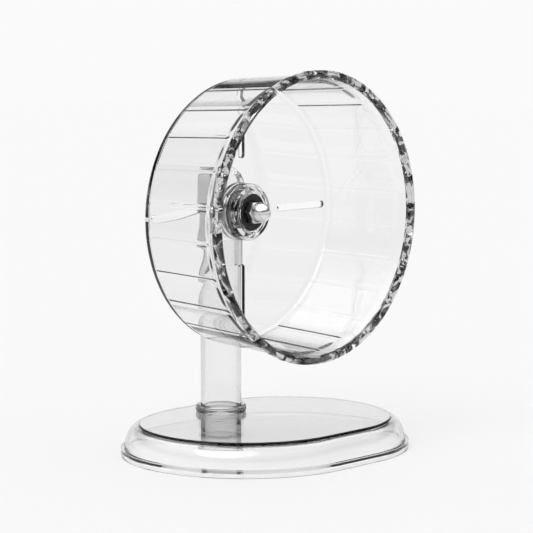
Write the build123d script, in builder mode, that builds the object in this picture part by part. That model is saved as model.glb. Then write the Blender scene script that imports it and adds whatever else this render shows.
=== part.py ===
"""Rodent exercise wheel: a clear drum that spins on a column over a hollow oval base.

Millimetres, +Z up. The origin is the middle of the base, on the surface it stands on.
The drum's mouth faces -Y and its axle lies along Y. The drum, its hub and the outer
races turn together; the bolt, the head and the inner races stand still.
"""

import os
from math import cos, radians, sin, tan

from build123d import *

os.makedirs("parts", exist_ok=True)

# Base: a hollow oval with a foot band, a rounded shoulder and a raised top plate
base_straight = 35.6
foot_radius = 78.4
foot_height = 4.5
foot_step = 2.2
shoulder_run = 9.3
base_height = 19.5
plate_step = 0.9
base_wall = 2.2
edge_round = 0.4

# Column: a clear tube that stands in a flanged socket
column_inset = 38.6
column_diameter = 26.0
column_wall = 2.6
socket_wall = 1.4
socket_floor = 1.4
socket_ground_gap = 1.0
socket_flange_width = 1.2
socket_flange_thickness = 0.9
socket_neck_height = 1.6
grip_ring_height = 1.0
grip_ring_inset = 0.2
grip_ring_round = 0.25

# Collar: the knurled ring that clamps the column
collar_wall = 1.6
collar_lip = 1.0
collar_round = 1.2
knurl_count = 72
knurl_radius = 0.35
knurl_height = 1.7

# Head: an arch-topped block with a plug that goes into the tube
axle_height = 149.0
head_width = 28.0
head_depth = 18.5
head_drop = 18.3
head_rise = 14.0
head_edge_round = 4.5
head_flange_thickness = 2.5
plug_length = 16.5
plug_wall = 2.0

# Drum
rim_radius = 90.0
rim_width = 5.0
rim_depth = 5.5
rim_seat_depth = 2.5
rim_front_round = 2.2
rim_back_round = 1.2
drum_depth = 70.0
rear_radius = 83.7
rear_edge_round = 4.0
drum_wall = 2.3
disc_thickness = 2.5
disc_corner_round = 3.0
tread_count = 24
tread_end_gap = 7.5
rung_width = 3.0
rung_height = 0.8
rung_draft = 0.3
slot_count = 4
slot_width = 4.5
slot_inner_radius = 33.5
slot_outer_radius = 76.5

# Hub
hub_flange_radius = 18.0
hub_flange_height = 6.7
hub_lip_radius = 13.8
hub_lip_height = 1.4
hub_ledge_radius = 16.4
hub_barrel_wall = 3.9
hub_overhang = 4.75
hub_ring_wall = 3.2
hub_ring_thickness = 3.0
retainer_radius = 11.7
retainer_thickness = 0.9
retainer_nut_gap = 0.5

# Ball bearing, 8 x 22 x 7
bearing_outer_diameter = 22.0
bearing_width = 7.0
bearing_shoulder = 1.0
bearing_shoulder_height = 1.4
inner_race_radius = 6.05
outer_race_inner_radius = 8.9
ball_diameter = 3.969
ball_pitch_radius = 7.5
ball_count = 7
groove_clearance = 0.066
cage_wall = 0.9
cage_width = 4.7
pocket_clearance = 0.12
seal_recess_radius = 9.6
seal_inset = 0.35
seal_thickness = 0.5
seal_lip_gap = 0.2

# Axle: an M8 bolt, its washer, its spacers and its cap nut
axle_diameter = 8.0
hexagon_across_flats = 13.0
nut_hexagon_height = 6.5
nut_height = 15.0
nut_dome_radius = 6.25
nut_bore_depth = 11.0
thread_reach = 9.5
bolt_head_height = 5.3
hexagon_chamfer = 0.7
washer_diameter = 16.0
washer_thickness = 1.6
head_spacer_length = 2.6
spacer_diameter = 12.0

# Clearances, all radial or along the axis of the joint
axle_fit = 0.02
tube_fit = 0.1
socket_fit = 0.05
plug_fit = 0.1
collar_fit = 0.08
hub_fit = 0.1
rim_fit = 0.05
seat_gap = 0.05

# Places that follow from the sizes above
column_y = foot_radius - column_inset
column_radius = column_diameter / 2
column_bore_radius = column_radius - column_wall
head_front_y = column_y - head_depth / 2
head_back_y = column_y + head_depth / 2
bearing_back_y = head_front_y - head_spacer_length
rear_bearing_y = bearing_back_y - bearing_width
front_bearing_y = rear_bearing_y - bearing_shoulder - bearing_width
disc_back_y = bearing_back_y - hub_overhang
disc_front_y = disc_back_y - disc_thickness
rim_front_y = disc_back_y - drum_depth
rim_back_y = rim_front_y + rim_depth
wall_front_y = rim_back_y - rim_seat_depth
tread_front_y = rim_back_y + tread_end_gap
wall_front_radius = rim_radius - rim_width + drum_wall
axle_radius = axle_diameter / 2
bearing_radius = bearing_outer_diameter / 2
hub_barrel_radius = bearing_radius + hub_barrel_wall

axle_axis = Axis((0, 0, axle_height), (0, 1, 0))
column_axis = Axis((0, column_y, 0), (0, 0, 1))

# Half sections of turned pieces: local x runs along the axis, local y is the radius
axle_section = Plane(origin=(0, 0, axle_height), x_dir=(0, 1, 0), z_dir=(1, 0, 0))
column_section = Plane(origin=(0, column_y, 0), x_dir=(1, 0, 0), z_dir=(0, -1, 0))


def wheel_plane(y):
    """The plane across the axle at y, facing the drum's mouth."""
    return Plane(origin=(0, y, axle_height), x_dir=(1, 0, 0), z_dir=(0, -1, 0))


def column_plane(z):
    """The plane across the column at z."""
    return Plane(origin=(0, column_y, z))


def wall_radius(y):
    """The drum's outer radius at y: the wall opens out towards the mouth."""
    share = (disc_back_y - y) / (disc_back_y - wall_front_y)
    return rear_radius + (wall_front_radius - rear_radius) * share


def save(piece, name):
    piece.part.label = name
    export_step(piece.part, f"parts/{name}.step")


# Base shell

foot_inner_radius = foot_radius - base_wall
shoulder_radius = foot_radius - foot_step
plate_radius = shoulder_radius - shoulder_run
shoulder_top = base_height - plate_step
plate_underside = shoulder_top - base_wall
socket_radius = column_radius + tube_fit + socket_wall


def base_half_section(x):
    """Half of the shell's section across the oval at x, from its middle to its foot."""
    with BuildSketch(Plane.YZ.offset(x)) as section:
        with BuildLine():
            Polyline(
                (plate_radius, shoulder_top),
                (plate_radius, base_height),
                (0, base_height),
                (0, plate_underside),
                (plate_radius, plate_underside),
            )
            EllipticalCenterArc(
                (plate_radius, foot_height),
                shoulder_run - base_wall,
                plate_underside - foot_height,
                start_angle=0,
                arc_size=90,
            )
            Polyline(
                (shoulder_radius - base_wall, foot_height),
                (foot_inner_radius, foot_height - base_wall),
                (foot_inner_radius, 0),
                (foot_radius, 0),
                (foot_radius, foot_height),
                (shoulder_radius, foot_height),
            )
            EllipticalCenterArc(
                (plate_radius, foot_height),
                shoulder_run,
                shoulder_top - foot_height,
                start_angle=0,
                arc_size=90,
            )
        make_face()
    return section.sketch


with BuildPart() as base_shell:
    for side in (-1, 1):
        end_x = side * base_straight / 2
        end_axis = Axis((end_x, 0, 0), (0, 0, -side))
        revolve(base_half_section(end_x), axis=end_axis, revolution_arc=180)
    middle = base_half_section(-base_straight / 2)
    extrude(middle, amount=base_straight)
    extrude(mirror(middle, about=Plane.XZ, mode=Mode.PRIVATE), amount=base_straight, dir=(1, 0, 0))
    with BuildSketch(column_plane(plate_underside)):
        Circle(socket_radius + socket_fit)
    extrude(amount=base_height - plate_underside, mode=Mode.SUBTRACT)
    plate_edges = base_shell.faces().sort_by(Axis.Z)[-1].outer_wire().edges()
    fillet(plate_edges, edge_round)
save(base_shell, "base_shell")

# Socket, grip ring and collar

flange_top = base_height + socket_flange_thickness
neck_top = flange_top + socket_neck_height
socket_bottom = socket_ground_gap
column_bottom = socket_bottom + socket_floor + seat_gap
flange_radius = socket_radius + socket_flange_width
grip_ring_top = neck_top + grip_ring_height

with BuildPart() as column_socket:
    with BuildSketch(column_section):
        with BuildLine():
            Polyline(
                (0, socket_bottom),
                (socket_radius, socket_bottom),
                (socket_radius, base_height),
                (flange_radius, base_height),
                (flange_radius, flange_top),
                (socket_radius, flange_top),
                (socket_radius, neck_top),
                (column_radius + tube_fit, neck_top),
                (column_radius + tube_fit, socket_bottom + socket_floor),
                (0, socket_bottom + socket_floor),
                close=True,
            )
        make_face()
    revolve(axis=column_axis)
save(column_socket, "column_socket")

with BuildPart() as grip_ring:
    with BuildSketch(column_plane(neck_top)):
        Circle(socket_radius - grip_ring_inset)
        Circle(column_radius + collar_fit, mode=Mode.SUBTRACT)
    extrude(amount=grip_ring_height)
    fillet(grip_ring.edges(), grip_ring_round)
save(grip_ring, "grip_ring")

collar_bottom = flange_top + seat_gap
collar_inner_top = grip_ring_top + seat_gap
collar_top = collar_inner_top + collar_lip
collar_radius = socket_radius + collar_fit + collar_wall

with BuildPart() as clamp_collar:
    with BuildSketch(column_section):
        with BuildLine():
            Polyline(
                (socket_radius + collar_fit, collar_bottom),
                (collar_radius, collar_bottom),
                (collar_radius, collar_top),
                (column_radius + tube_fit, collar_top),
                (column_radius + tube_fit, collar_inner_top),
                (socket_radius + collar_fit, collar_inner_top),
                close=True,
            )
        make_face()
    revolve(axis=column_axis)
    top_edges = clamp_collar.faces().sort_by(Axis.Z)[-1].edges()
    fillet(top_edges.sort_by(SortBy.RADIUS)[-1], collar_round)
    with BuildSketch(column_plane(collar_bottom)):
        with PolarLocations(collar_radius, knurl_count):
            Circle(knurl_radius)
    extrude(amount=knurl_height, mode=Mode.SUBTRACT)
save(clamp_collar, "clamp_collar")

# Column tube

head_bottom = axle_height - head_drop

with BuildPart() as column_tube:
    with BuildSketch(column_plane(column_bottom)):
        Circle(column_radius)
        Circle(column_bore_radius, mode=Mode.SUBTRACT)
    extrude(amount=head_bottom - column_bottom)
save(column_tube, "column_tube")

# Head: the block, its flange on the tube's end and its hollow plug

arch_height = head_drop + head_rise - head_flange_thickness
block_bottom = head_bottom + head_flange_thickness
block_plane = Plane(origin=(0, head_back_y, block_bottom), x_dir=(1, 0, 0), z_dir=(0, -1, 0))
plug_radius = column_bore_radius - plug_fit

with BuildPart() as axle_head:
    with BuildSketch(block_plane):
        Rectangle(head_width, arch_height, align=(Align.CENTER, Align.MIN))
        with Locations((0, arch_height)):
            Circle(head_width / 2)
    extrude(amount=head_depth)
    for end_face in (axle_head.faces().sort_by(Axis.Y)[0], axle_head.faces().sort_by(Axis.Y)[-1]):
        fillet(end_face.edges().sort_by(Axis.Z)[1:], head_edge_round)
    with BuildSketch(column_plane(head_bottom)):
        Circle(column_radius)
    extrude(amount=head_flange_thickness)
    with BuildSketch(column_plane(head_bottom)):
        Circle(plug_radius)
    extrude(amount=-plug_length)
    with BuildSketch(column_plane(head_bottom)):
        Circle(plug_radius - plug_wall)
    extrude(amount=-plug_length, mode=Mode.SUBTRACT)
    with BuildSketch(wheel_plane(column_y + column_radius)):
        Circle(axle_radius + axle_fit)
    extrude(amount=column_diameter, mode=Mode.SUBTRACT)
save(axle_head, "axle_head")

# Drum

tread_angle = 360 / tread_count


def tread_outline(y):
    """The inside of the treads at y: one flat for each tread, a low rung at each corner."""
    corner_radius = wall_radius(y) - drum_wall
    foot = rung_width / 2
    crest = foot - rung_draft
    foot_drop = foot * tan(radians(tread_angle / 2))
    points = []
    for tread in range(tread_count):
        angle = radians(tread_angle * (tread + 0.5))
        for across, drop in (
            (-foot, foot_drop),
            (-crest, rung_height),
            (crest, rung_height),
            (foot, foot_drop),
        ):
            radius = corner_radius - drop
            points.append(
                (
                    radius * cos(angle) - across * sin(angle),
                    radius * sin(angle) + across * cos(angle),
                )
            )
    with BuildSketch(wheel_plane(y)) as outline:
        with BuildLine():
            Polyline(*points, close=True)
        make_face()
    return outline.sketch


with BuildPart() as wheel_drum:
    with BuildSketch(axle_section) as envelope:
        with BuildLine():
            Polyline(
                (disc_back_y, 0),
                (disc_back_y, wall_radius(disc_back_y)),
                (wall_front_y, wall_front_radius),
                (wall_front_y, 0),
                close=True,
            )
        make_face()
        rear_corner = envelope.vertices().group_by(Axis.X)[-1].sort_by(Axis.Y)[-1]
        fillet(rear_corner, rear_edge_round)
    revolve(axis=axle_axis)
    loft([tread_outline(disc_front_y), tread_outline(tread_front_y)], ruled=True, mode=Mode.SUBTRACT)
    with BuildSketch(axle_section):
        with BuildLine():
            Polyline(
                (tread_front_y, 0),
                (tread_front_y, wall_radius(tread_front_y) - drum_wall),
                (wall_front_y, wall_front_radius - drum_wall),
                (wall_front_y, 0),
                close=True,
            )
        make_face()
    revolve(axis=axle_axis, mode=Mode.SUBTRACT)
    corner_radius = wall_radius(disc_front_y) - drum_wall / 2
    with BuildSketch(axle_section):
        with BuildLine():
            corner_start = (disc_front_y, corner_radius - drum_wall / 2 - rung_height - disc_corner_round)
            corner_end = (disc_front_y - disc_corner_round, corner_radius - drum_wall / 2 - rung_height)
            RadiusArc(corner_start, corner_end, disc_corner_round)
            Polyline(
                corner_end,
                (disc_front_y - disc_corner_round, corner_radius),
                (disc_front_y, corner_radius),
                corner_start,
            )
        make_face()
    revolve(axis=axle_axis)
    with BuildSketch(wheel_plane(disc_back_y)):
        Circle(hub_barrel_radius + hub_fit)
        slot_length = slot_outer_radius - slot_inner_radius
        with PolarLocations((slot_outer_radius + slot_inner_radius) / 2, slot_count):
            SlotOverall(slot_length, slot_width)
    extrude(amount=disc_thickness, mode=Mode.SUBTRACT)
save(wheel_drum, "wheel_drum")

with BuildPart() as front_rim:
    with BuildSketch(axle_section) as rim_section:
        seat_radius = wall_front_radius + rim_fit
        with BuildLine():
            Polyline(
                (rim_front_y, rim_radius - rim_width),
                (rim_front_y, rim_radius),
                (rim_back_y, rim_radius),
                (rim_back_y, seat_radius),
                (wall_front_y, seat_radius),
                (wall_front_y, rim_radius - rim_width),
                close=True,
            )
        make_face()
        front_corners = rim_section.vertices().group_by(Axis.X)[0]
        fillet(front_corners, rim_front_round)
        back_corner = rim_section.vertices().group_by(Axis.X)[-1].sort_by(Axis.Y)[-1]
        fillet(back_corner, rim_back_round)
    revolve(axis=axle_axis)
save(front_rim, "front_rim")

# Hub, its ring nut and the bearing retainer

hub_front_y = front_bearing_y - retainer_thickness - hub_lip_height
ledge_y = hub_front_y + hub_lip_height
flange_front_y = disc_front_y - hub_flange_height
shoulder_bore_radius = bearing_radius - bearing_shoulder_height

with BuildPart() as bearing_hub:
    with BuildSketch(axle_section):
        with BuildLine():
            Polyline(
                (hub_front_y, retainer_radius + hub_fit),
                (hub_front_y, hub_lip_radius),
                (ledge_y, hub_lip_radius),
                (ledge_y, hub_ledge_radius),
                (flange_front_y, hub_flange_radius),
                (disc_front_y, hub_flange_radius),
                (disc_front_y, hub_barrel_radius),
                (bearing_back_y, hub_barrel_radius),
                (bearing_back_y, bearing_radius),
                (rear_bearing_y, bearing_radius),
                (rear_bearing_y, shoulder_bore_radius),
                (rear_bearing_y - bearing_shoulder, shoulder_bore_radius),
                (rear_bearing_y - bearing_shoulder, bearing_radius),
                (front_bearing_y, bearing_radius),
                (front_bearing_y, retainer_radius + hub_fit),
                close=True,
            )
        make_face()
    revolve(axis=axle_axis)
    mouth_edges = bearing_hub.faces().sort_by(Axis.Y)[0].edges()
    fillet(mouth_edges.sort_by(SortBy.RADIUS)[-1], edge_round)
save(bearing_hub, "bearing_hub")

with BuildPart() as hub_ring_nut:
    with BuildSketch(wheel_plane(disc_back_y)):
        Circle(hub_barrel_radius + hub_fit + hub_ring_wall)
        Circle(hub_barrel_radius + hub_fit, mode=Mode.SUBTRACT)
    extrude(amount=-hub_ring_thickness)
    ring_edges = hub_ring_nut.faces().sort_by(Axis.Y)[-1].edges()
    fillet(ring_edges.sort_by(SortBy.RADIUS)[-1], edge_round)
save(hub_ring_nut, "hub_ring_nut")

nut_corner_radius = hexagon_across_flats / 2 / cos(radians(30))

with BuildPart() as bearing_retainer:
    with BuildSketch(wheel_plane(front_bearing_y)):
        Circle(retainer_radius)
        Circle(nut_corner_radius + retainer_nut_gap, mode=Mode.SUBTRACT)
    extrude(amount=retainer_thickness)
save(bearing_retainer, "bearing_retainer")

# Bearings

ball_radius = ball_diameter / 2
groove_radius = ball_radius + groove_clearance


def race(front_y, inner, outer, recess_radius):
    """One race: a ring with the balls' groove, and a recess for the seals where it has one."""
    middle_y = front_y + bearing_width / 2
    recess = seal_inset + seal_thickness
    with BuildPart() as ring:
        with BuildSketch(axle_section):
            with BuildLine():
                Polyline(
                    (front_y, inner),
                    (front_y, outer),
                    (front_y + bearing_width, outer),
                    (front_y + bearing_width, inner),
                    close=True,
                )
            make_face()
            with Locations((middle_y, ball_pitch_radius)):
                Circle(groove_radius, mode=Mode.SUBTRACT)
            if recess_radius:
                recess_middle = (recess_radius + inner) / 2
                for end_y in (front_y + recess / 2, front_y + bearing_width - recess / 2):
                    with Locations((end_y, recess_middle)):
                        Rectangle(recess, recess_radius - inner, mode=Mode.SUBTRACT)
        revolve(axis=axle_axis)
    return ring


def bearing(name, front_y):
    """One sealed ball bearing whose front face lies at front_y."""
    middle_y = front_y + bearing_width / 2
    outer_race = race(front_y, outer_race_inner_radius, bearing_radius, seal_recess_radius)
    save(outer_race, f"{name}_outer_race")
    inner_race = race(front_y, axle_radius + axle_fit, inner_race_radius, None)
    save(inner_race, f"{name}_inner_race")

    with BuildPart(wheel_plane(middle_y)) as balls:
        with PolarLocations(ball_pitch_radius, ball_count):
            Sphere(ball_radius)
    save(balls, f"{name}_balls")

    with BuildPart(wheel_plane(middle_y)) as cage:
        Cylinder(ball_pitch_radius + cage_wall / 2, cage_width)
        Cylinder(ball_pitch_radius - cage_wall / 2, cage_width, mode=Mode.SUBTRACT)
        with PolarLocations(ball_pitch_radius, ball_count):
            Cylinder(
                ball_radius + pocket_clearance,
                ball_radius,
                rotation=(0, 90, 0),
                mode=Mode.SUBTRACT,
            )
    save(cage, f"{name}_cage")

    with BuildPart() as seals:
        for seal_front in (front_y + seal_inset, front_y + bearing_width - seal_inset - seal_thickness):
            with BuildSketch(wheel_plane(seal_front)):
                Circle(seal_recess_radius)
                Circle(inner_race_radius + seal_lip_gap, mode=Mode.SUBTRACT)
            extrude(amount=-seal_thickness)
    save(seals, f"{name}_seals")


bearing("front_bearing", front_bearing_y)
bearing("rear_bearing", rear_bearing_y)

# Axle: spacers, bolt, washer and cap nut


def sleeve(y, length, diameter):
    """A plain ring on the axle that starts at y and runs back by its length."""
    with BuildPart() as ring:
        with BuildSketch(wheel_plane(y)):
            Circle(diameter / 2)
            Circle(axle_radius + axle_fit, mode=Mode.SUBTRACT)
        extrude(amount=-length)
    return ring


save(sleeve(rear_bearing_y - bearing_shoulder, bearing_shoulder, spacer_diameter), "inner_race_spacer")
save(sleeve(bearing_back_y, head_spacer_length, spacer_diameter), "head_spacer")
save(sleeve(head_back_y, washer_thickness, washer_diameter), "rear_washer")


def hexagon_cutter(start_y, end_y):
    """A turned blank that takes the corners off a hexagon between start_y and end_y."""
    flat_radius = hexagon_across_flats / 2
    with BuildSketch(axle_section) as blank:
        with BuildLine():
            Polyline(
                (start_y, 0),
                (start_y, flat_radius),
                (start_y + hexagon_chamfer, nut_corner_radius),
                (end_y - hexagon_chamfer, nut_corner_radius),
                (end_y, flat_radius),
                (end_y, 0),
                close=True,
            )
        make_face()
    return blank.sketch


bolt_head_y = head_back_y + washer_thickness
bolt_tip_y = front_bearing_y - thread_reach

with BuildPart() as axle_bolt:
    with BuildSketch(wheel_plane(bolt_head_y)):
        RegularPolygon(hexagon_across_flats / 2, 6, major_radius=False)
    extrude(amount=-bolt_head_height)
    head_blank = hexagon_cutter(bolt_head_y, bolt_head_y + bolt_head_height)
    revolve(head_blank, axis=axle_axis, mode=Mode.INTERSECT)
    with BuildSketch(wheel_plane(bolt_head_y)):
        Circle(axle_radius)
    extrude(amount=bolt_head_y - bolt_tip_y)
    tip_edges = axle_bolt.faces().sort_by(Axis.Y)[0].edges()
    chamfer(tip_edges, hexagon_chamfer)
save(axle_bolt, "axle_bolt")

nut_front_y = front_bearing_y - nut_hexagon_height
dome_centre_y = front_bearing_y - nut_height + nut_dome_radius

with BuildPart() as acorn_nut:
    with BuildSketch(wheel_plane(front_bearing_y)):
        RegularPolygon(hexagon_across_flats / 2, 6, major_radius=False)
    extrude(amount=nut_hexagon_height)
    revolve(hexagon_cutter(nut_front_y, front_bearing_y), axis=axle_axis, mode=Mode.INTERSECT)
    with BuildSketch(axle_section):
        with BuildLine():
            CenterArc((dome_centre_y, 0), nut_dome_radius, 90, 90)
            Polyline(
                (dome_centre_y, nut_dome_radius),
                (nut_front_y + hexagon_chamfer, nut_dome_radius),
                (nut_front_y + hexagon_chamfer, 0),
                (dome_centre_y - nut_dome_radius, 0),
            )
        make_face()
    revolve(axis=axle_axis)
    with BuildSketch(wheel_plane(front_bearing_y)):
        Circle(axle_radius + axle_fit)
    extrude(amount=nut_bore_depth, mode=Mode.SUBTRACT)
save(acorn_nut, "acorn_nut")
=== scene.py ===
"""Looks of the rodent exercise wheel: clear moulded plastic in a plain pale studio.

Metres, in the part's own frame: +Z up, the drum's mouth faces -Y, the axle lies along Y.
The drum, its rim, the hub, the tube and the socket are shaped here; the rest are the solids.
"""

from math import cos, pi, radians, sin

import bmesh
import bpy
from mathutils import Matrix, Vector


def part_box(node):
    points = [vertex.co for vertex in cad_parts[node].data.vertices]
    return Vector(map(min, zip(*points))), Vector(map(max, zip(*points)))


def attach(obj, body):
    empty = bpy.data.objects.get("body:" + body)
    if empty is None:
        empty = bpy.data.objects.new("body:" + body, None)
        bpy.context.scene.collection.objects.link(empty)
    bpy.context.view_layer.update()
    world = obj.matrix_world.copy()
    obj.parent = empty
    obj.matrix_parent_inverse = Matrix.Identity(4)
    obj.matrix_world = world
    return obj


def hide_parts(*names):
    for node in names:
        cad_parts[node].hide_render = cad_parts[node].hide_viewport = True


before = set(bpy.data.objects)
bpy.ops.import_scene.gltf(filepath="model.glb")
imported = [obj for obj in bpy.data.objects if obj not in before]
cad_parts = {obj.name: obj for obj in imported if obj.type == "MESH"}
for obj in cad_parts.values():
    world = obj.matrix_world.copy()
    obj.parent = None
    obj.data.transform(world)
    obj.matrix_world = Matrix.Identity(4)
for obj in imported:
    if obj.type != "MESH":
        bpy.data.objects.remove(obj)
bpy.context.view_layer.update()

MM = 0.001

# Camera: the photograph's viewing angle, with the image taken as 533 pixels wide
CAMERA_AZIMUTH = -46.55
CAMERA_ELEVATION = 6.65
CAMERA_DISTANCE = 1.394
CAMERA_TARGET = Vector((0.00174, 0.00123, 0.1155))
FOCAL_PIXELS = 2226.3
IMAGE_PIXELS = 533
SENSOR_WIDTH = 36.0
CLIP_START = 0.05
CLIP_END = 50.0

# Bounces: enough for a ray to cross all the clear walls in its way
CLEAR_BOUNCES = 32
MIRROR_BOUNCES = 16
SHADOW_BOUNCES = 64

# Backdrop: its value, the light it gives, and its fading with the count of reflections
BACKDROP = 0.955
WORLD_LIGHT = 0.66
TURNS_BRIGHT = 1.0
TURNS_DARK = 1.9
TURNED_LEVEL = 0.0

# Ceiling and softbox, seen in reflections alone, by the upward part of a ray's direction
CEILING = ((0.18, 1.0), (0.30, 0.1), (0.46, 0.1), (0.54, 1.0))
SOFTBOX_START = 0.62
SOFTBOX_FULL = 0.75
SOFTBOX_LEVEL = 2.0

# Floor: the share of its value that the lamps give, and where it darkens in reflections
FLOOR_RADIUS = 4.0
FLOOR_GAP = 0.05 * MM
FLOOR_ALBEDO = 0.9
FLOOR_LIT_SHARE = 0.5
BRIGHT_FLOOR = 0.3
DARK_FLOOR = 0.8
FAR_FLOOR_LEVEL = 0.25

# Soft light from the upper left
SUN_STRENGTH = 1.5
SUN_SPREAD = 50
SUN_PLACE = (-0.7, -0.2, 1.0)

# Clear plastic: its index, the grey it takes on with depth, the share of the lamps' light that
# a wall lets into the shadow, and its faint flow marks
CLEAR_INDEX = 1.49
CLEAR_GREY = 0.5
SHADOW_SHARE = 0.8
FLOW_SCALE = 18.0
FLOW_HEIGHT = 0.05 * MM
FLOW_DETAIL = 1.0
GRAIN_DETAIL = 3.0

# Air left between clear pieces that touch
HAIRLINE = 0.02 * MM

# Drum
DRUM_REAR_RADIUS = 83.7 * MM
WALL = 2.3 * MM
DISC = 2.5 * MM
REAR_ROUND = 4.0 * MM
COVE_ROUND = 3.0 * MM
TREAD_COUNT = 24
TREAD_FRONT_GAP = 5.0 * MM
TREAD_FADE = 5.0 * MM
RUNG_HALF_WIDTH = 1.9 * MM
RUNG_HEIGHT = 0.75 * MM
SLOT_COUNT = 4
SLOT_WIDTH = 4.5 * MM
SLOT_INNER = 33.5 * MM
SLOT_OUTER = 76.5 * MM

# Rim
RIM_WIDTH = 5.0 * MM
RIM_FRONT_ROUND = 2.2 * MM
RIM_BACK_ROUND = 1.2 * MM

# Hub
HUB_BORE = 11.0 * MM
HUB_BARREL = 14.9 * MM
HUB_FIT = 0.1 * MM
HUB_SHOULDER_BORE = 9.6 * MM
HUB_SHOULDER_WIDTH = 1.0 * MM
BEARING_WIDTH = 7.0 * MM
HUB_MOUTH = 11.8 * MM
HUB_MOUTH_DEPTH = 2.3 * MM
HUB_LIP = 13.8 * MM
HUB_LIP_HEIGHT = 1.4 * MM
HUB_LEDGE = 16.4 * MM
HUB_FLANGE = 18.0 * MM
HUB_FLANGE_HEIGHT = 6.7 * MM
HUB_ROUND = 0.5 * MM

# Column
COLUMN_WALL = 2.6 * MM
SOCKET_WALL = 1.4 * MM
SOCKET_FLOOR = 1.4 * MM
SOCKET_FLANGE = 0.9 * MM
TUBE_FIT = 0.1 * MM
EDGE_ROUND = 0.3 * MM

# Fineness of the meshes
TREAD_STEPS = 30
FADE_ROWS = 8
DEEP_ROWS = 4
SLOT_EDGE_STEPS = 16
RIM_STEPS = 360
TURNED_STEPS = 144
ROUND_STEPS = 6
SHARP_ANGLE = radians(30)
WELD_DISTANCE = 0.0001 * MM
NEAR_AXIS = 0.001 * MM


# Places read from the solids


def corners_of(name):
    low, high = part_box(name)
    return Vector(low), Vector(high)


drum_low, drum_high = corners_of("wheel_drum")
rim_low, rim_high = corners_of("front_rim")
hub_low, hub_high = corners_of("bearing_hub")
tube_low, tube_high = corners_of("column_tube")
socket_low, socket_high = corners_of("column_socket")
base_high = corners_of("base_shell")[1]

AXLE_HEIGHT = (rim_low.z + rim_high.z) / 2
COLUMN_Y = (tube_low.y + tube_high.y) / 2
RIM_RADIUS = (rim_high.x - rim_low.x) / 2
TUBE_RADIUS = (tube_high.x - tube_low.x) / 2
WALL_FRONT = drum_low.y
WALL_FRONT_RADIUS = (drum_high.x - drum_low.x) / 2
DISC_BACK = drum_high.y
DISC_FRONT = DISC_BACK - DISC
TREAD_FRONT = rim_high.y + TREAD_FRONT_GAP


# Scene and node helpers


def placed(name, data):
    """A new object in the scene, made from its data."""
    item = bpy.data.objects.new(name, data)
    bpy.context.scene.collection.objects.link(item)
    return item


def grey(value):
    return (value, value, value, 1)


def new_tree(owner):
    owner.use_nodes = True
    owner.node_tree.nodes.clear()
    return owner.node_tree


def put(tree, value, socket):
    """A plain value, or the output of another node, into a socket."""
    if isinstance(value, bpy.types.NodeSocket):
        tree.links.new(value, socket)
    else:
        socket.default_value = value


def add(tree, kind, **values):
    """A node of this kind. A value given by name sets its property, or goes into its socket."""
    node = tree.nodes.new(kind)
    for name, value in values.items():
        if hasattr(node, name):
            setattr(node, name, value)
        else:
            put(tree, value, node.inputs[name.replace("_", " ")])
    return node


def calculated(tree, operation, *values):
    node = add(tree, "ShaderNodeMath", operation=operation)
    for value, socket in zip(values, node.inputs):
        put(tree, value, socket)
    return node.outputs[0]


def spread(tree, value, start, end, first, last):
    """The value carried over from the range of start and end to that of first and last."""
    node = add(tree, "ShaderNodeMapRange", Value=value, From_Min=start, From_Max=end,
               To_Min=first, To_Max=last)
    return node.outputs["Result"]


def mixed(tree, factor, first, second):
    """The first value where the factor is 0, the second where it is 1 or more."""
    node = add(tree, "ShaderNodeMix", data_type="FLOAT", Factor=factor, A=first, B=second)
    return node.outputs["Result"]


def mixed_shader(tree, factor, first, second):
    node = add(tree, "ShaderNodeMixShader")
    for value, socket in zip((factor, first.outputs[0], second.outputs[0]), node.inputs):
        put(tree, value, socket)
    return node.outputs[0]


# Camera and studio


def set_view():
    scene = bpy.context.scene
    scene.view_settings.view_transform = "Standard"
    scene.cycles.max_bounces = CLEAR_BOUNCES
    scene.cycles.transmission_bounces = CLEAR_BOUNCES
    scene.cycles.glossy_bounces = MIRROR_BOUNCES
    scene.cycles.transparent_max_bounces = SHADOW_BOUNCES


def make_camera():
    azimuth, elevation = radians(CAMERA_AZIMUTH), radians(CAMERA_ELEVATION)
    away = Vector((sin(azimuth) * cos(elevation), -cos(azimuth) * cos(elevation), sin(elevation)))
    data = bpy.data.cameras.new("camera")
    data.sensor_width = SENSOR_WIDTH
    data.lens = FOCAL_PIXELS / IMAGE_PIXELS * SENSOR_WIDTH
    data.clip_start = CLIP_START
    data.clip_end = CLIP_END
    camera = placed("camera", data)
    camera.location = CAMERA_TARGET + CAMERA_DISTANCE * away
    camera.rotation_euler = (-away).to_track_quat("-Z", "Y").to_euler()
    bpy.context.scene.camera = camera


def backdrop_level(tree):
    """The backdrop's value for a ray: full if it comes straight or through clear walls, less
    with each reflection on its way. The second result is 0 for rays that gather light."""
    path = add(tree, "ShaderNodeLightPath").outputs
    looking = calculated(tree, "MAXIMUM", path["Is Camera Ray"], path["Is Glossy Ray"])
    looking = calculated(tree, "MAXIMUM", looking, path["Is Transmission Ray"])
    turns = path["Glossy Depth"]
    level = spread(tree, turns, TURNS_BRIGHT, TURNS_DARK, BACKDROP, TURNED_LEVEL)
    return level, looking


def mirrored_only(tree, value):
    """The value for a ray that has been reflected, and 1 for any other."""
    path = add(tree, "ShaderNodeLightPath")
    return mixed(tree, path.outputs["Glossy Depth"], 1.0, value)


def ceiling_level(tree, upward):
    """The ceiling's value, with a dark band round the room."""
    ramp = add(tree, "ShaderNodeValToRGB")
    put(tree, upward, ramp.inputs[0])
    stops = ramp.color_ramp.elements
    stops[0].color = grey(CEILING[0][1])
    stops[1].color = grey(CEILING[-1][1])
    for position, value in CEILING:
        stops.new(position).color = grey(value)
    return ramp.outputs["Color"]


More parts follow.
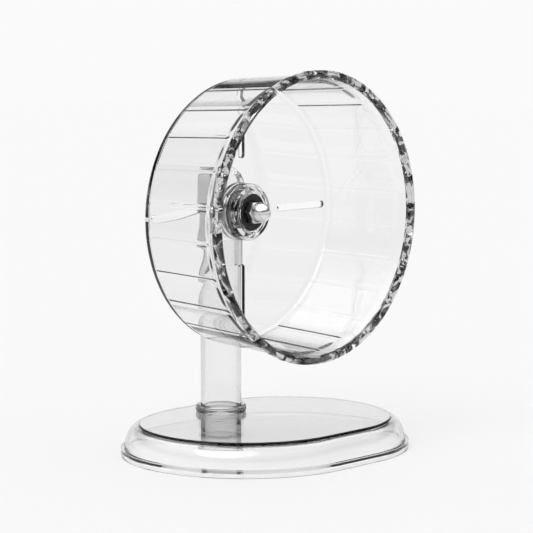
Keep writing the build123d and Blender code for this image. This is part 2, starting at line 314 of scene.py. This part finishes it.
def make_world():
    world = bpy.data.worlds.new("studio")
    bpy.context.scene.world = world
    tree = new_tree(world)
    place = add(tree, "ShaderNodeTexCoord")
    upward = add(tree, "ShaderNodeSeparateXYZ", Vector=place.outputs["Generated"]).outputs["Z"]
    softbox = spread(tree, upward, SOFTBOX_START, SOFTBOX_FULL, 1.0, SOFTBOX_LEVEL)
    level, looking = backdrop_level(tree)
    for shade in (ceiling_level(tree, upward), softbox):
        level = calculated(tree, "MULTIPLY", level, mirrored_only(tree, shade))
    light = mixed(tree, looking, WORLD_LIGHT, level)
    background = add(tree, "ShaderNodeBackground", Color=light)
    add(tree, "ShaderNodeOutputWorld", Surface=background.outputs[0])


def floor_paper():
    """White paper. A ray that looks at it finds a part of the backdrop's value in it."""
    material = bpy.data.materials.new("floor_paper")
    tree = new_tree(material)
    place = add(tree, "ShaderNodeNewGeometry").outputs["Position"]
    reach = add(tree, "ShaderNodeVectorMath", operation="LENGTH", Vector=place).outputs["Value"]
    far = spread(tree, reach, BRIGHT_FLOOR, DARK_FLOOR, 1.0, FAR_FLOOR_LEVEL)
    level, looking = backdrop_level(tree)
    level = calculated(tree, "MULTIPLY", level, mirrored_only(tree, far))
    share = calculated(tree, "MULTIPLY", looking, 1 - FLOOR_LIT_SHARE)
    paper = add(tree, "ShaderNodeBsdfDiffuse", Color=grey(FLOOR_ALBEDO))
    glow = add(tree, "ShaderNodeEmission", Color=grey(1), Strength=level)
    add(tree, "ShaderNodeOutputMaterial", Surface=mixed_shader(tree, share, paper, glow))
    return material


def make_floor():
    corners = [(-1, -1), (1, -1), (1, 1), (-1, 1)]
    points = [(x * FLOOR_RADIUS, y * FLOOR_RADIUS, -FLOOR_GAP) for x, y in corners]
    mesh = bpy.data.meshes.new("floor")
    mesh.from_pydata(points, [], [(0, 1, 2, 3)])
    mesh.materials.append(floor_paper())
    floor = placed("floor", mesh)


def make_sun():
    """One broad soft light, even over the whole floor."""
    data = bpy.data.lights.new("soft_light", "SUN")
    data.energy = SUN_STRENGTH
    data.angle = radians(SUN_SPREAD)
    lamp = placed("soft_light", data)
    lamp.rotation_euler = (-Vector(SUN_PLACE)).to_track_quat("-Z", "Y").to_euler()


# Materials


def noise(tree, scale, detail, twist=0.0):
    """Noise over the piece, its scale in ripples for each metre."""
    place = add(tree, "ShaderNodeTexCoord").outputs["Object"]
    texture = add(tree, "ShaderNodeTexNoise", Vector=place, Scale=scale, Detail=detail)
    put(tree, twist, texture.inputs["Distortion"])
    return texture.outputs[0]


def ridges(tree, value, count):
    """Ridges along the lines of equal value, so many for each unit of it."""
    return calculated(tree, "SINE", calculated(tree, "MULTIPLY", value, 2 * pi * count))


def relief(tree, value, height):
    return add(tree, "ShaderNodeBump", Height=value, Distance=height).outputs["Normal"]


def clear_plastic(name, density, index=CLEAR_INDEX, flow=FLOW_SCALE, height=FLOW_HEIGHT,
                  twist=0.0, swirls=0.0):
    """Clear moulded plastic with flow marks: glass that lets the lamps' light through.
    Its density is the depth of its grey for each metre; swirls draw the marks out into ridges."""
    material = bpy.data.materials.new(name)
    tree = new_tree(material)
    marks = noise(tree, flow, FLOW_DETAIL, twist)
    if swirls:
        marks = ridges(tree, marks, swirls)
    glass = add(tree, "ShaderNodeBsdfPrincipled", Base_Color=grey(1), Transmission_Weight=1.0)
    put(tree, 0.0, glass.inputs["Roughness"])
    put(tree, index, glass.inputs["IOR"])
    put(tree, relief(tree, marks, height), glass.inputs["Normal"])
    open_way = add(tree, "ShaderNodeBsdfTransparent", Color=grey(SHADOW_SHARE))
    in_shadow = add(tree, "ShaderNodeLightPath").outputs["Is Shadow Ray"]
    surface = mixed_shader(tree, in_shadow, glass, open_way)
    depth = add(tree, "ShaderNodeVolumeAbsorption", Color=grey(CLEAR_GREY), Density=density)
    add(tree, "ShaderNodeOutputMaterial", Surface=surface, Volume=depth.outputs[0])
    return material


def solid_material(name, colour, metallic, rough, grain, height):
    """An opaque material; rough holds its least and greatest roughness, grain its fineness."""
    material = bpy.data.materials.new(name)
    tree = new_tree(material)
    marks = noise(tree, grain, GRAIN_DETAIL)
    body = add(tree, "ShaderNodeBsdfPrincipled", Base_Color=(*colour, 1), Metallic=metallic)
    put(tree, spread(tree, marks, 0.0, 1.0, *rough), body.inputs["Roughness"])
    put(tree, relief(tree, marks, height), body.inputs["Normal"])
    add(tree, "ShaderNodeOutputMaterial", Surface=body.outputs[0])
    return material


# Mesh helpers


def on_axle(along, radius, angle):
    return Vector((radius * sin(angle), along, AXLE_HEIGHT + radius * cos(angle)))


def on_column(along, radius, angle):
    return Vector((radius * cos(angle), COLUMN_Y + radius * sin(angle), along))


def rounded(corners):
    """A closed outline of (along, radius) points; each corner's third value is its round."""
    points = []
    for index, (along, radius, size) in enumerate(corners):
        here = Vector((along, radius))
        if not size:
            points.append(here)
            continue
        before = Vector(corners[index - 1][:2]) - here
        after = Vector(corners[(index + 1) % len(corners)][:2]) - here
        before.normalize()
        after.normalize()
        half = before.angle(after) / 2
        start = here + before * (size * cos(half) / sin(half))
        end = here + after * (size * cos(half) / sin(half))
        centre = here + (before + after).normalized() * (size / sin(half))
        for step in range(ROUND_STEPS + 1):
            spoke = start.lerp(end, step / ROUND_STEPS) - centre
            points.append(centre + spoke.normalized() * size)
    return points


def quarter_arc(along, radius, size, start, end):
    """A quarter circle round the point (along, radius), from one turn to the other."""
    steps = 2 * ROUND_STEPS
    turns = [start + (end - start) * step / steps for step in range(steps + 1)]
    return [(along + size * cos(turn), radius + size * sin(turn)) for turn in turns]


def swept(outlines, place, steps):
    """A closed ring surface: outlines(angle) gives its section at each angle of the turn."""
    mesh_data = bmesh.new()
    rings = []
    for step in range(steps):
        angle = 2 * pi * step / steps
        rings.append([mesh_data.verts.new(place(p[0], p[1], angle)) for p in outlines(angle)])
    for step in range(steps):
        here, there = rings[step], rings[(step + 1) % steps]
        for index in range(len(here)):
            following = (index + 1) % len(here)
            mesh_data.faces.new((here[index], here[following], there[following], there[index]))
    return mesh_data


def turned(outline, place, steps):
    return swept(lambda angle: outline, place, steps)


def cut(mesh_data, cutter):
    """The first shape with the second taken out of it."""
    objects = []
    for shape in (mesh_data, cutter):
        bmesh.ops.recalc_face_normals(shape, faces=shape.faces)
        mesh = bpy.data.meshes.new("shape")
        shape.to_mesh(mesh)
        shape.free()
        objects.append(placed("shape", mesh))
    modifier = objects[0].modifiers.new("cut", "BOOLEAN")
    modifier.operation = "DIFFERENCE"
    modifier.solver = "EXACT"
    modifier.object = objects[1]
    graph = bpy.context.evaluated_depsgraph_get()
    result = bmesh.new()
    result.from_mesh(objects[0].evaluated_get(graph).to_mesh())
    for item in objects:
        mesh = item.data
        bpy.data.objects.remove(item)
        bpy.data.meshes.remove(mesh)
    return result


def finished(name, mesh_data, body, slot, material, *nodes):
    """A piece from a bmesh: its normals, its place on the body and the nodes it stands for."""
    bmesh.ops.remove_doubles(mesh_data, verts=mesh_data.verts, dist=WELD_DISTANCE)
    bmesh.ops.recalc_face_normals(mesh_data, faces=mesh_data.faces)
    mesh = bpy.data.meshes.new(name)
    mesh_data.to_mesh(mesh)
    mesh_data.free()
    mesh.shade_smooth()
    mesh.set_sharp_from_angle(angle=SHARP_ANGLE)
    mesh.materials.append(material)
    piece = placed(name, mesh)
    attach(piece, body)
    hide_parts(*nodes)


# Drum


def wall_radius(y):
    """The drafted wall's outside at y."""
    share = (DISC_BACK - y) / (DISC_BACK - WALL_FRONT)
    return DRUM_REAR_RADIUS + (WALL_FRONT_RADIUS - DRUM_REAR_RADIUS) * share


def tread_radius(y, angle):
    """The wall's inside at y: round at the mouth, further in a flat for each tread, with a rung
    at each corner."""
    smooth = wall_radius(y) - WALL
    tread = 2 * pi / TREAD_COUNT
    across = abs(angle % tread - tread / 2)
    flat = smooth * cos(tread / 2) / cos(tread / 2 - across)
    reach = across * smooth / RUNG_HALF_WIDTH
    if reach < 1:
        flat -= RUNG_HEIGHT * (0.5 + 0.5 * cos(pi * reach))
    share = min(1.0, max(0.0, (y - TREAD_FRONT) / TREAD_FADE))
    share = share * share * (3 - 2 * share)
    return smooth + (flat - smooth) * share


def drum_outline(angle):
    """The drum's section at this angle, from the hub's hole round the wall and back."""
    hole = HUB_BARREL + HUB_FIT
    back = DISC_BACK - HAIRLINE
    front = DISC_FRONT + HAIRLINE
    corner_y = back - REAR_ROUND
    cove_y = front - COVE_ROUND
    fade_end = TREAD_FRONT + TREAD_FADE
    rows = [TREAD_FRONT + TREAD_FADE * step / FADE_ROWS for step in range(FADE_ROWS + 1)]
    rows += [fade_end + (cove_y - fade_end) * step / DEEP_ROWS for step in range(1, DEEP_ROWS)]
    corner_radius = wall_radius(corner_y) - REAR_ROUND
    cove_radius = tread_radius(cove_y, angle) - COVE_ROUND

    outline = [(back, hole), (back, SLOT_INNER), (back, SLOT_OUTER)]
    outline += quarter_arc(corner_y, corner_radius, REAR_ROUND, 0, pi / 2)
    outline.append((WALL_FRONT, WALL_FRONT_RADIUS))
    outline.append((WALL_FRONT, WALL_FRONT_RADIUS - WALL))
    outline += [(y, tread_radius(y, angle)) for y in rows]
    outline += quarter_arc(cove_y, cove_radius, COVE_ROUND, pi / 2, 0)
    outline += [(front, SLOT_OUTER), (front, SLOT_INNER), (front, hole)]
    return outline


def slot_cutter(angle):
    """A long round-ended block across the disc, one for each slot."""
    cutter = bmesh.new()
    half = SLOT_WIDTH / 2
    rings = []
    for y in (DISC_FRONT - DISC, DISC_BACK + DISC):
        ring = []
        for centre, start in ((SLOT_OUTER - half, -pi / 2), (SLOT_INNER + half, pi / 2)):
            for step in range(SLOT_EDGE_STEPS + 1):
                turn = start + pi * step / SLOT_EDGE_STEPS
                out = centre + half * cos(turn)
                side = half * sin(turn)
                x = out * sin(angle) + side * cos(angle)
                z = out * cos(angle) - side * sin(angle)
                ring.append(cutter.verts.new((x, y, AXLE_HEIGHT + z)))
        rings.append(ring)
        cutter.faces.new(ring)
    for index in range(len(rings[0])):
        following = (index + 1) % len(rings[0])
        corners = (rings[0][index], rings[0][following], rings[1][following], rings[1][index])
        cutter.faces.new(corners)
    bmesh.ops.recalc_face_normals(cutter, faces=cutter.faces)
    return cutter


def make_drum(material):
    shape = swept(drum_outline, on_axle, TREAD_COUNT * TREAD_STEPS)
    for slot in range(SLOT_COUNT):
        shape = cut(shape, slot_cutter(slot * 2 * pi / SLOT_COUNT))
    finished("wheel_drum_look", shape, "wheel", "clear_plastic", material, "wheel_drum")


# Rim and hub


def make_rim(material):
    front, back = rim_low.y, rim_high.y
    seat = WALL_FRONT_RADIUS + 2 * HAIRLINE
    shelf = WALL_FRONT - HAIRLINE
    inner = RIM_RADIUS - RIM_WIDTH
    outline = rounded([
        (front, inner, RIM_FRONT_ROUND),
        (front, RIM_RADIUS, RIM_FRONT_ROUND),
        (back, RIM_RADIUS, RIM_BACK_ROUND),
        (back, seat, 0),
        (shelf, seat, 0),
        (shelf, inner, 0),
    ])
    shape = turned(outline, on_axle, RIM_STEPS)
    finished("front_rim_look", shape, "wheel", "clear_plastic", material, "front_rim")


def make_hub(material):
    front, back = hub_low.y, hub_high.y
    lip_back = front + HUB_LIP_HEIGHT
    mouth_back = front + HUB_MOUTH_DEPTH
    shoulder_back = back - BEARING_WIDTH
    shoulder_front = shoulder_back - HUB_SHOULDER_WIDTH
    bore = HUB_BORE + HAIRLINE
    outline = rounded([
        (front, HUB_MOUTH, 0),
        (front, HUB_LIP, HUB_ROUND),
        (lip_back, HUB_LIP, 0),
        (lip_back, HUB_LEDGE, HUB_ROUND),
        (DISC_FRONT - HUB_FLANGE_HEIGHT, HUB_FLANGE, HUB_ROUND),
        (DISC_FRONT, HUB_FLANGE, 0),
        (DISC_FRONT, HUB_BARREL, 0),
        (back, HUB_BARREL, 0),
        (back, bore, 0),
        (shoulder_back, bore, 0),
        (shoulder_back, HUB_SHOULDER_BORE, 0),
        (shoulder_front, HUB_SHOULDER_BORE, 0),
        (shoulder_front, bore, 0),
        (mouth_back, bore, 0),
        (mouth_back, HUB_MOUTH, 0),
    ])
    shape = turned(outline, on_axle, TURNED_STEPS)
    finished("bearing_hub_look", shape, "wheel", "clear_plastic", material, "bearing_hub")


# Tube and socket


def make_tube(material):
    low, high = tube_low.z, tube_high.z - HAIRLINE
    outline = rounded([
        (low, TUBE_RADIUS, EDGE_ROUND),
        (high, TUBE_RADIUS, EDGE_ROUND),
        (high, TUBE_RADIUS - COLUMN_WALL, EDGE_ROUND),
        (low, TUBE_RADIUS - COLUMN_WALL, EDGE_ROUND),
    ])
    shape = turned(outline, on_column, TURNED_STEPS)
    finished("column_tube_look", shape, "column", "clear_plastic", material, "column_tube")


def make_socket(material):
    bore = TUBE_RADIUS + TUBE_FIT
    barrel = bore + SOCKET_WALL
    flange = (socket_high.x - socket_low.x) / 2
    flange_low = base_high.z + HAIRLINE
    flange_high = flange_low + SOCKET_FLANGE
    floor_top = socket_low.z + SOCKET_FLOOR
    outline = rounded([
        (socket_low.z, NEAR_AXIS, 0),
        (socket_low.z, barrel, EDGE_ROUND),
        (flange_low, barrel, 0),
        (flange_low, flange, 0),
        (flange_high, flange, EDGE_ROUND),
        (flange_high, barrel, 0),
        (socket_high.z, barrel, EDGE_ROUND),
        (socket_high.z, bore, EDGE_ROUND),
        (floor_top, bore, EDGE_ROUND),
        (floor_top, NEAR_AXIS, 0),
    ])
    shape = turned(outline, on_column, TURNED_STEPS)
    finished("column_socket_look", shape, "base", "clear_plastic", material, "column_socket")


set_view()
make_camera()
make_world()
make_floor()
make_sun()

clear = clear_plastic("clear_plastic", density=16.0)
clear_wall = clear_plastic("clear_wall", density=30.0)
clear_rim = clear_plastic("clear_rim", density=160.0, flow=26.0, height=4.5 * MM, twist=1.0, swirls=4.0)
clear_head = clear_plastic("clear_head", density=2.0, flow=30.0)
clear_foot = clear_plastic("clear_foot", density=40.0, index=1.42)
soft = clear_plastic("clear_silicone", density=24.0, index=1.41, flow=300.0, height=0.02 * MM)
black = solid_material("black_plastic", (0.01, 0.01, 0.011), 0.0, (0.45, 0.6), 4000, 0.01 * MM)
seal = solid_material("black_seal", (0.015, 0.015, 0.015), 0.0, (0.5, 0.7), 3000, 0.02 * MM)
steel = solid_material("steel", (0.6, 0.6, 0.62), 1.0, (0.2, 0.35), 1500, 0.01 * MM)
chrome = solid_material("polished_steel", (0.78, 0.78, 0.79), 1.0, (0.14, 0.24), 900, 0.005 * MM)
nylon = solid_material("nylon", (0.8, 0.75, 0.6), 0.0, (0.4, 0.55), 2000, 0.02 * MM)

slot_looks = {
    "clear_plastic": clear,
    "clear_silicone": soft,
    "black_plastic": black,
    "black_seal": seal,
    "bearing_steel": steel,
    "polished_steel": chrome,
    "nylon": nylon,
}
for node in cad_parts.values():
    slot_name = node.material_slots[0].material.name
    node.material_slots[0].material = slot_looks[slot_name]

own_looks = {"axle_head": clear_head, "base_shell": clear_foot, "clamp_collar": clear_foot}
for name, material in own_looks.items():
    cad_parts[name].material_slots[0].material = material

make_drum(clear_wall)
make_rim(clear_rim)
make_hub(clear)
make_tube(clear_foot)
make_socket(clear_foot)
